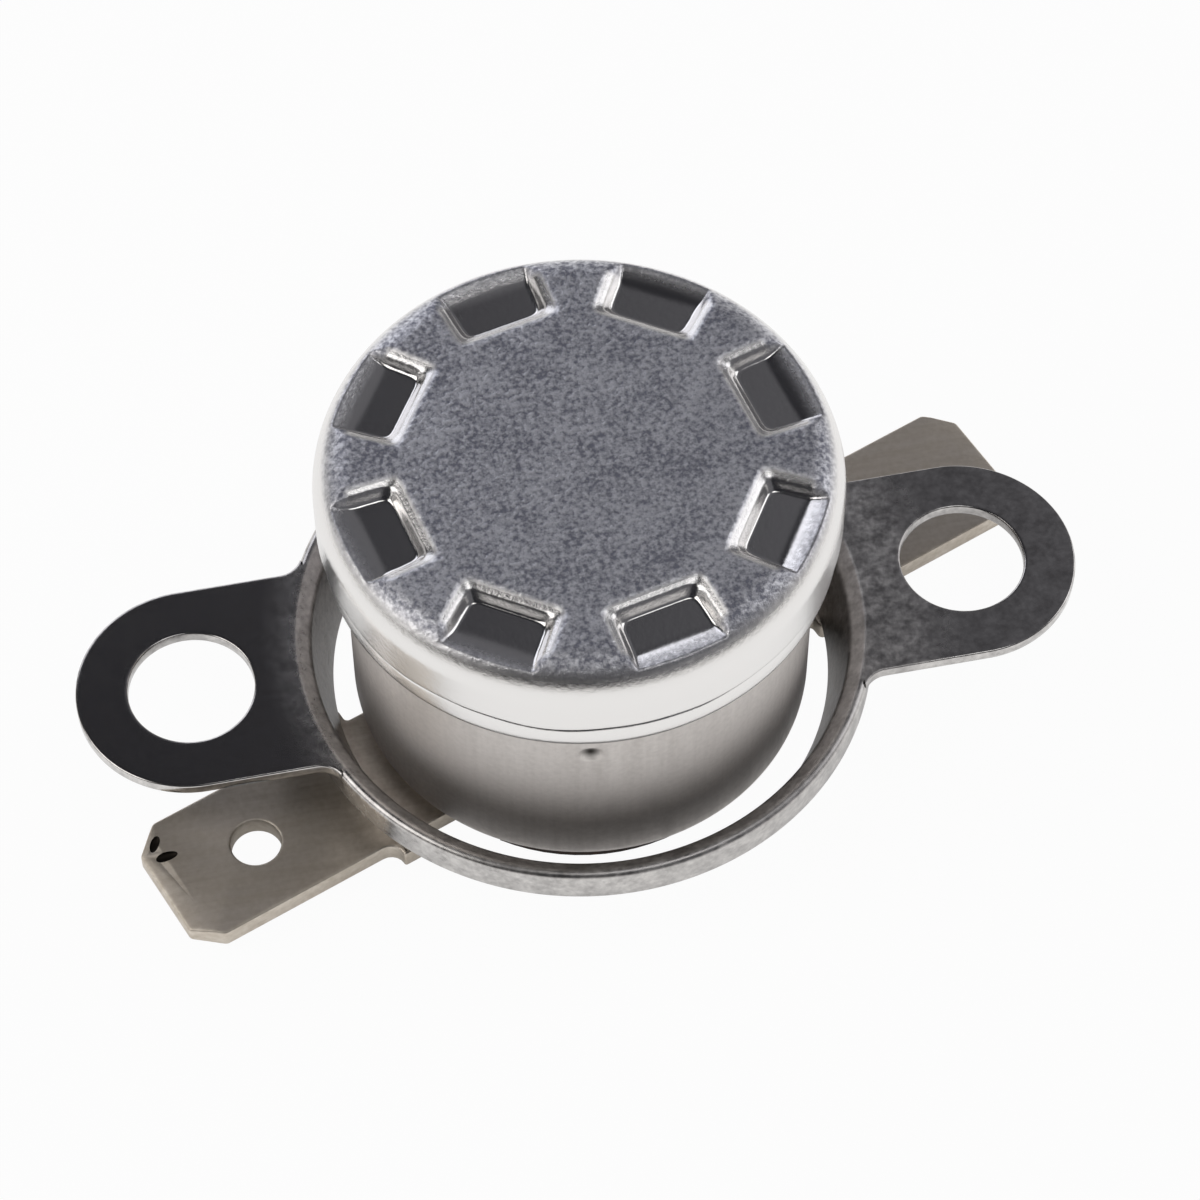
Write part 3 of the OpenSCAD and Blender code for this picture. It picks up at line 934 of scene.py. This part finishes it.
@dataclass
class CaseSleeve:
    """Drawn sleeve with a turned-in toe, a flange under the cap and one punched mark with painted
    shade in it.
    """

    radius: float = 7.0
    wall: float = 0.4
    low: float = 1.6
    toe_in: float = 6.0
    toe_r: float = 0.6
    flange: float = 9.28
    flange_r: float = 7.25
    mark_turn: float = -98.5
    mark_z: float = 7.68
    mark_w: float = 0.7
    mark_depth: float = 0.12
    # Share of the mark's reach that the painted shade covers
    painted_shade_share: float = 0.8
    toe_edge: float = 0.08
    toe_row: float = 0.2
    segments: int = 640

    def build(self) -> Object:
        """Turn the sleeve, punch its mark and seat it.

        Returns:
            The finished piece.
        """
        inner = self.radius - self.wall
        top = self.flange + self.wall
        soft = self.toe_edge
        sole = self.low + self.wall
        profile: list[Point] = [(inner, top), (inner, sole), (self.toe_in, sole)]
        profile += arc((self.toe_in + soft, self.low + soft), soft, 180, 270, 4)
        profile += arc((self.radius - self.toe_r, self.low + self.toe_r), self.toe_r, -90, 0, 12)
        # The wall's rows are close together round the mark
        rows = [
            self.low + self.toe_r + self.toe_row,
            self.mark_z - self.mark_w,
            self.mark_z + self.mark_w,
            self.flange,
        ]
        for start, end, steps in zip(rows, rows[1:], (12, 32, 4)):
            profile += span((self.radius, start), (self.radius, end), steps)
        profile += [(self.radius, self.flange), (self.flange_r, self.flange), (self.flange_r, top)]
        mesh = lathe("case_sleeve_wall", profile, self.segments, closed=True)
        self.punch(mesh)
        shade_smooth(mesh, 40)
        coat(mesh, Slot.SLEEVE)
        obj = add_object("case_sleeve_drawn", mesh)
        return seat_piece(obj, Body.CASE, Slot.SLEEVE, "case_sleeve")

    def punch(self, mesh: Mesh) -> None:
        """Press the round mark into the sleeve's outside and paint shade into its bottom.

        Args:
            mesh: The sleeve's mesh.
        """
        reach = self.mark_w / 2
        ball = (reach**2 + self.mark_depth**2) / (2 * self.mark_depth)
        away = self.radius + ball - self.mark_depth
        turn = math.radians(self.mark_turn)
        marks = mesh.attributes.new("nick", "FLOAT", "POINT")
        for vert in mesh.vertices:
            x, y, z = (c / MM for c in vert.co)
            radius = math.hypot(x, y)
            if radius < self.radius - ON_WALL or abs(z - self.mark_z) > reach:
                continue
            swing = (math.atan2(y, x) - turn + math.pi) % math.tau - math.pi
            off = (swing * self.radius) ** 2 + (z - self.mark_z) ** 2
            if off < reach**2:
                new = away - math.sqrt(ball**2 - off)
                vert.co.x *= new / radius
                vert.co.y *= new / radius
                # Painted shade, darkest at the mark's middle and fading towards its edge
                marks.data[vert.index].value = max(0.0, 1 - off / (self.painted_shade_share * reach) ** 2)


@dataclass
class MountingBracket:
    """Loose bracket: a folded ring with two flat ears."""

    collar_r: float = 7.65
    collar_z: float = 1.4
    dish_r: float = 8.25
    dish_z: float = 3.58
    ring_r: float = 8.96
    dish_edge: float = 0.4
    fold_r: float = 0.2
    fold_arc: float = 126.0
    skirt_z: float = 2.77
    sheet: float = 0.4
    ear_z: float = 3.93
    hole_at: float = 12.0
    hole_r: float = 1.92
    ear_w: float = 7.0
    corner_r: float = 0.8
    edge: float = 0.06

    def ring(self) -> Mesh:
        """Turn the folded ring.

        Returns:
            The ring's mesh.
        """
        fold_at = (self.ring_r - self.fold_r, self.ear_z - self.fold_r)
        fold = arc(fold_at, self.fold_r, 0, self.fold_arc, 14)
        soft = self.edge
        section = round_corners(
            [
                (self.collar_r, self.collar_z, soft),
                (self.collar_r + self.sheet, self.collar_z, soft),
                (self.ring_r - self.sheet, self.skirt_z, soft),
                (self.ring_r, self.skirt_z, soft),
                *[(x, z, 0.0) for x, z in fold],
                (self.dish_r, self.dish_z, self.dish_edge),
            ]
        )
        return lathe("bracket_ring", section, 360, closed=True)

    def ear(self, side: int) -> Mesh:
        """Make one ear.

        Args:
            side: 1 for the ear along +X, -1 for the other.

        Returns:
            The ear's mesh.
        """
        half = self.ear_w / 2
        corner_y = half + self.corner_r
        corner_x = math.sqrt((self.ring_r + self.corner_r) ** 2 - corner_y**2)
        lean = math.degrees(math.atan2(corner_y, corner_x))
        root = self.ring_r - self.fold_r - self.edge
        outline = arc((self.hole_at, 0), half, -90, 90, 96)
        outline += arc((corner_x, corner_y), self.corner_r, -90, lean - 180, 16)
        outline += arc((0, 0), root, lean - 1, 1 - lean, 40)
        outline += arc((corner_x, -corner_y), self.corner_r, 180 - lean, 90, 16)
        hole = circle((self.hole_at, 0), self.hole_r, 96)
        mesh = plate("bracket_ear", outline, [hole], self.ear_z - self.sheet, self.ear_z, self.edge)
        mesh.transform(Matrix.Rotation(0.0 if side > 0 else math.pi, 4, "Z"))
        return mesh

    def build(self) -> Object:
        """Join ring and ears and seat the bracket.

        Returns:
            The finished piece.
        """
        obj = add_object("mounting_bracket_folded", self.ring())
        for side in (1, -1):
            combine(obj, self.ear(side), "UNION")
        shade_smooth(obj.data, 32)
        coat(obj.data, Slot.BRACKET)
        return seat_piece(obj, Body.BRACKET, Slot.BRACKET, "mounting_bracket")


@dataclass(frozen=True)
class Nick:
    """Small dark gouge in the top of a tab, by half its length, half its width and its depth."""

    x: float
    y: float
    turn: float
    length: float
    width: float
    depth: float = 0.1
    skin: float = 0.06
    facet: float = 0.1

    def cut(self, obj: Object, top: float) -> None:
        """Gouge the nick out of a tab that lies along +X and mark its faces.

        Args:
            obj: The tab.
            top: Height of the tab's top face.
        """
        place = Matrix.Translation(Vector((self.x, self.y, top)) * MM)
        place = place @ Matrix.Rotation(math.radians(self.turn), 4, "Z")
        place = place @ Matrix.Diagonal((self.length * MM, self.width * MM, self.depth * MM, 1.0))
        bm = bmesh.new()
        bmesh.ops.create_icosphere(bm, subdivisions=3, radius=1.0, matrix=place)
        ball = bpy.data.meshes.new("nick")
        bm.to_mesh(ball)
        bm.free()
        combine(obj, ball, "DIFFERENCE")
        mesh = obj.data
        marks = mesh.attributes.get("nick") or mesh.attributes.new("nick", "FLOAT", "FACE")
        back = place.inverted()
        for face in mesh.polygons:
            off = abs((back @ face.center).length - 1)
            if off < self.skin and face.area < (self.facet * MM) ** 2:
                marks.data[face.index].value = 1.0


@dataclass
class Terminal:
    """Flat push-on tab with stop shoulders, a catch hole and a coined tip."""

    node: str
    reach: float
    turn: float
    root: float = 1.9
    width: float = 4.5
    low: float = 0.6
    high: float = 1.3
    tip_l: float = 0.85
    tip_w: float = 0.75
    bevel_l: float = 0.62
    bevel_depth: float = 0.15
    catch_r: float = 0.77
    catch_back: float = 3.17
    rivet_at: float = 3.7
    rivet_r: float = 0.67
    shoulder_at: float = 8.05
    shoulder_l: float = 0.9
    shoulder_out: float = 0.55
    shoulder_r: float = 0.45
    edge: float = 0.07
    nicks: tuple[Nick, ...] = ()

    def outline(self) -> list[Point]:
        """Draw the tab's flat outline along +X.

        Returns:
            Points of the outline, anticlockwise.
        """
        half = self.width / 2
        wide = half + self.shoulder_out
        near = self.shoulder_at - self.shoulder_l
        lower = [
            (self.root, -half, 0.2),
            (near, -half, 0.15),
            (near, -wide, 0.18),
            (self.shoulder_at, -wide, 0.08),
            (self.shoulder_at, -half, self.shoulder_r),
            (self.reach - self.tip_l, -half, 0.25),
            (self.reach, self.tip_w - half, 0.2),
        ]
        return round_corners(lower + [(x, -y, r) for x, y, r in reversed(lower)], steps=5)

    def build(self) -> Object:
        """Make the tab, coin its tip and seat it.

        Returns:
            The finished piece.
        """
        holes = [
            circle((self.reach - self.catch_back, 0), self.catch_r, 48),
            circle((self.rivet_at, 0), self.rivet_r, 48),
        ]
        mesh = plate(self.node + "_blade", self.outline(), holes, self.low, self.high, self.edge)
        self.coin(mesh)
        obj = add_object(self.node + "_blade", mesh)
        for nick in self.nicks:
            nick.cut(obj, self.high)
        obj.data.transform(Matrix.Rotation(math.radians(self.turn), 4, "Z"))
        shade_smooth(obj.data, 40)
        coat(obj.data, Slot.TAB)
        return seat_piece(obj, Body.CASE, Slot.TAB, self.node)

    def coin(self, mesh: Mesh) -> None:
        """Press the bevel into the top of the tip.

        Args:
            mesh: The tab's mesh, along +X.
        """
        start = (self.reach - self.bevel_l) * MM
        middle = (self.low + self.high) / 2 * MM
        bm = bmesh.new()
        bm.from_mesh(mesh)
        geom = bm.verts[:] + bm.edges[:] + bm.faces[:]
        bmesh.ops.bisect_plane(bm, geom=geom, dist=WELD, plane_co=(start, 0, 0), plane_no=(1, 0, 0))
        for vert in bm.verts:
            if vert.co.x > start and vert.co.z > middle:
                vert.co.z -= self.bevel_depth * MM * (vert.co.x - start) / (self.bevel_l * MM)
        bm.to_mesh(mesh)
        bm.free()


@dataclass
class RivetPair:
    """Two headed rivets in the line of the tabs."""

    at: float = 3.7
    low: float = 0.25
    tab_low: float = 0.6
    floor: float = 3.3
    shank_r: float = 0.65
    head_r: float = 1.4
    flange_r: float = 0.95
    head_h: float = 0.35
    strips: dict[str, float] = field(
        default_factory=lambda: {"spring_rivet": 0.15, "fixed_rivet": 0.35}
    )

    def rivet(self, name: str, strip: float) -> Object:
        """Turn one rivet on the axis.

        Args:
            name: Name of the rivet.
            strip: Thickness of the strip under its flange.

        Returns:
            The rivet's object.
        """
        seat = self.floor + strip
        top = seat + self.head_h
        crown = self.head_h / 2
        corners = [
            (0.0, self.low, 0.0),
            (self.head_r - crown, self.low, 0.12),
            (self.head_r, self.low + crown, 0.12),
            (self.head_r, self.tab_low, 0.02),
            (self.shank_r, self.tab_low, 0.0),
            (self.shank_r, seat, 0.0),
            (self.flange_r, seat, 0.02),
            (self.flange_r, top, 0.1),
            (0.0, top, 0.0),
        ]
        mesh = lathe(name, round_corners(corners), 64, closed=False)
        return add_object(name, mesh)

    def row_tree(self, material: Material) -> NodeTree:
        """Build the node tree that sets a rivet at each end of a row.

        Args:
            material: Material of the rivets.

        Returns:
            The tree.
        """
        inputs = dict.fromkeys(self.strips, "NodeSocketObject")
        inputs |= dict.fromkeys(("Distance", "Turn"), "NodeSocketFloat")
        tree = start_tree("rivet_row", inputs)
        node = partial(add_node, tree)
        given = node("NodeGroupInput").outputs
        turn = node(COMBINE, {"Z": given["Turn"]})
        joined = node("GeometryNodeJoinGeometry")
        for name, end in zip(self.strips, (-1.0, 1.0)):
            out = node(MATH, (given["Distance"], end), operation="MULTIPLY")
            place = node(COMBINE, {"X": out})
            point = node("GeometryNodePoints", {"Count": 1, "Position": place})
            rivet = node("GeometryNodeObjectInfo", {"Object": given[name]})
            copy = node(
                "GeometryNodeInstanceOnPoints",
                {"Points": point, "Instance": rivet.outputs["Geometry"]},
            )
            tree.links.new(copy.outputs[0], joined.inputs[0])
        turned = node("GeometryNodeTransform", {"Geometry": joined, "Rotation": turn})
        whole = node("GeometryNodeRealizeInstances", {"Geometry": turned})
        dressed = node("GeometryNodeSetMaterial", {"Geometry": whole, "Material": material})
        node("NodeGroupOutput", {"Geometry": dressed})
        return tree

    def build(self) -> Object:
        """Make both rivets and seat them.

        Returns:
            The finished piece.
        """
        singles = {name: self.rivet(name + "_turned", strip) for name, strip in self.strips.items()}
        values = {"Distance": self.at * MM, "Turn": math.radians(TAB_TURN), **singles}
        obj = add_object("rivet_pair", bpy.data.meshes.new("rivet_pair"))
        run_tree(obj, self.row_tree(finish_for(Slot.BRASS)), values)
        for single in singles.values():
            bpy.data.objects.remove(single)
        shade_smooth(obj.data, 40)
        return seat_piece(obj, Body.CASE, Slot.BRASS, *self.strips)


@dataclass
class InnerWorks:
    """Solids that keep their CAD form: the base and the sealed switch inside."""

    slots: dict[str, Slot] = field(
        default_factory=lambda: {
            "moulded_base": Slot.PHENOLIC,
            "guide_plate": Slot.PHENOLIC,
            "bimetal_disc": Slot.BIMETAL,
            "push_pin": Slot.CERAMIC,
            "moving_contact": Slot.SILVER,
            "fixed_strip": Slot.BRASS,
            "fixed_contact": Slot.SILVER,
        }
    )

    def dress(self) -> None:
        """Give each solid its finish."""
        for name, slot in self.slots.items():
            coat(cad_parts[name].data, slot)
            LOG.info("%s: %s", name, slot.value)


@dataclass
class ContactLeaf:
    """Spring leaf copied from its solid, with its arm cut across into short sections."""

    turn: float = TAB_TURN + 180
    cuts: int = 14
    arm_h: float = 0.4
    free_share: float = 0.52

    def build(self) -> Object:
        """Copy the solid and cut its arm across into short sections.

        Returns:
            The finished piece.
        """
        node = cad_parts["contact_spring"]
        mesh = node.data.copy()
        mesh.transform(node.matrix_world)
        shape = bmesh.new()
        shape.from_mesh(mesh)
        bmesh.ops.remove_doubles(shape, verts=shape.verts, dist=WELD)
        turn = math.radians(self.turn)
        along = -Vector((math.cos(turn), math.sin(turn), 0.0))
        arm_z = max(vert.co.z for vert in shape.verts)
        arm = [vert.co.dot(along) for vert in shape.verts if vert.co.z > arm_z - self.arm_h * MM]
        low, high = min(arm), max(arm)
        for cut in range(1, self.cuts):
            spot = along * (low + (high - low) * cut / self.cuts)
            parts = [*shape.verts, *shape.edges, *shape.faces]
            bmesh.ops.bisect_plane(shape, geom=parts, plane_co=spot, plane_no=along)
        shape.to_mesh(mesh)
        shape.free()
        coat(mesh, Slot.BRONZE)
        obj = add_object("contact_spring_leaf", mesh)
        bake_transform(obj)
        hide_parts("contact_spring")
        count = len(mesh.polygons)
        LOG.info("%s: %d faces from case to contact, for contact_spring", obj.name, count)
        return obj


# Studio


class Lamp(Enum):
    """Soft lamps as place in mm, size in mm, strength in watts and colour."""

    FAR = ((-63.0, 219.0, 126.0), 180.0, 0.1, "#f4f6ff")
    SIDE = ((-170.0, -15.0, 154.0), 190.0, 0.16, "#fffdfb")
    RIGHT = ((190.0, 33.0, 125.0), 170.0, 0.09, "#fbfbfd")
    TOP = ((40.0, -50.0, 245.0), 106.0, 0.045, "#ffffff")


@dataclass
class Studio:
    """Pale floor, soft lamps and the camera at the photograph's angle."""

    target: tuple[float, float, float] = (0.745, 0.667, 3.93)
    azimuth: float = -11.29
    elevation: float = 56.82
    distance: float = 128.75
    lens: float = 126.0
    floor_size: float = 1600.0
    near_clip: float = 10.0
    # Grey that deeper reflections see, a painted shade, and the paper's own white
    paper_and_shade: Tones = ("#5a5a5a", "#f6f6f6")
    glow: float = 0.96
    corner_shade: float = 5.0
    ceiling: Tones = ("#28282c", "#606064")
    ceiling_x: Point = (-0.02, 0.25)
    horizon: str = "#e4e2e0"
    horizon_z: Point = (0.03, 0.24)

    def camera(self) -> None:
        """Stand the camera up."""
        data = bpy.data.cameras.new("camera")
        data.lens = self.lens
        data.clip_start = self.near_clip * MM
        obj = bpy.data.objects.new("camera", data)
        a, e = math.radians(self.azimuth), math.radians(self.elevation)
        back = Vector((math.sin(a) * math.cos(e), -math.cos(a) * math.cos(e), math.sin(e)))
        obj.location = (Vector(self.target) + back * self.distance) * MM
        obj.rotation_mode = "QUATERNION"
        obj.rotation_quaternion = (-back).to_track_quat("-Z", "Y")
        bpy.context.scene.collection.objects.link(obj)
        bpy.context.scene.camera = obj

    def floor(self) -> None:
        """Lay the floor: white to the eye and in first reflections, with real shade under the
        object, and painted shade where metal reflects it near the object or through other metal.
        """
        half = self.floor_size / 2 * MM
        mesh = bpy.data.meshes.new("floor")
        corners = [(-half, -half, 0), (half, -half, 0), (half, half, 0), (-half, half, 0)]
        mesh.from_pydata(corners, [], [(0, 1, 2, 3)])
        material = bpy.data.materials.new("white_paper")
        material.use_nodes = True
        tree = material.node_tree
        tree.nodes.clear()
        node = partial(add_node, tree)
        path = node("ShaderNodeLightPath").outputs
        # Only a first reflection sees white paper; deeper reflections see grey paper, a painted
        # shade, so metal seen in metal is darker
        first = node(MATH, (path["Glossy Depth"], 1.5), operation="LESS_THAN")
        mirrored = node(MATH, (path["Is Glossy Ray"], first), operation="MULTIPLY")
        # Reflections see the glow dimmed by ambient occlusion, a painted shade on the paper under
        # and beside the object
        open_sky = node(
            "ShaderNodeAmbientOcclusion", {"Distance": self.corner_shade * MM}, samples=8
        ).outputs["AO"]
        mirrored = node(MATH, (mirrored, open_sky), operation="MULTIPLY")
        seen = node(MATH, (path["Is Camera Ray"], mirrored), operation="MAXIMUM")
        share = node(MATH, (seen, self.glow), operation="MULTIPLY")
        tone = node(
            MIX, {0: first, 6: linear(self.paper_and_shade[0]), 7: linear(self.paper_and_shade[1])}, data_type="RGBA"
        )
        paper_and_shade = node("ShaderNodeBsdfDiffuse", {"Color": tone.outputs[2]})
        glow = node("ShaderNodeEmission", {"Color": linear("#ffffff"), "Strength": 1.0})
        both = node("ShaderNodeMixShader", (share, paper_and_shade, glow))
        node("ShaderNodeOutputMaterial", {"Surface": both})
        mesh.materials.append(material)
        add_object("floor", mesh)

    def world(self) -> None:
        """Set a pale horizon under a dark ceiling, lighter to the right and white to the camera."""
        world = bpy.data.worlds.new("studio")
        world.use_nodes = True
        bpy.context.scene.world = world
        tree = world.node_tree
        tree.nodes.clear()
        node = partial(add_node, tree)
        coords = node("ShaderNodeTexCoord").outputs["Generated"]
        way = node(SEPARATE, (coords,)).outputs
        high = node(RANGE, (way["Z"], *self.horizon_z), interpolation_type="SMOOTHSTEP")
        aside = node(RANGE, (way["X"], *self.ceiling_x), interpolation_type="SMOOTHSTEP")
        ceiling = node(
            MIX,
            {0: aside, 6: linear(self.ceiling[0]), 7: linear(self.ceiling[1])},
            data_type="RGBA",
        )
        tone = node(
            MIX, {0: high, 6: linear(self.horizon), 7: ceiling.outputs[2]}, data_type="RGBA"
        )
        room = node("ShaderNodeBackground", {"Color": tone.outputs[2], "Strength": 1.0})
        white = node("ShaderNodeBackground", {"Color": linear("#ffffff"), "Strength": 1.0})
        seen = node("ShaderNodeLightPath").outputs["Is Camera Ray"]
        both = node("ShaderNodeMixShader", (seen, room, white))
        node("ShaderNodeOutputWorld", {"Surface": both})

    def lamps(self) -> None:
        """Hang the soft lamps, aimed at the object."""
        for lamp in Lamp:
            place, size, power, colour = lamp.value
            data = bpy.data.lights.new(lamp.name.lower(), "AREA")
            data.shape = "DISK"
            data.size = size * MM
            data.energy = power
            data.color = linear(colour)[:3]
            obj = bpy.data.objects.new(lamp.name.lower(), data)
            obj.location = Vector(place) * MM
            aim = Vector(self.target) * MM - obj.location
            obj.rotation_mode = "QUATERNION"
            obj.rotation_quaternion = aim.to_track_quat("-Z", "Y")
            bpy.context.scene.collection.objects.link(obj)

    def build(self) -> None:
        """Set the studio up."""
        self.camera()
        self.floor()
        self.world()
        self.lamps()
        bpy.context.scene.view_settings.view_transform = "Standard"
        LOG.info("studio: camera, floor, world and %d lamps", len(Lamp))


def main() -> None:
    """Build every piece and the studio."""
    logging.basicConfig(level=logging.INFO, format="%(message)s")
    Studio().build()
    SensingCap().build()
    CaseSleeve().build()
    MountingBracket().build()
    Terminal("fixed_terminal", reach=15.3, turn=TAB_TURN).build()
    nicks = (Nick(14.28, -1.57, 40.0, 0.32, 0.15), Nick(14.2, -1.03, -13.0, 0.40, 0.16))
    Terminal("spring_terminal", reach=14.8, turn=TAB_TURN + 180, nicks=nicks).build()
    RivetPair().build()
    InnerWorks().dress()
    ContactLeaf().build()


if __name__ == "__main__":
    main()
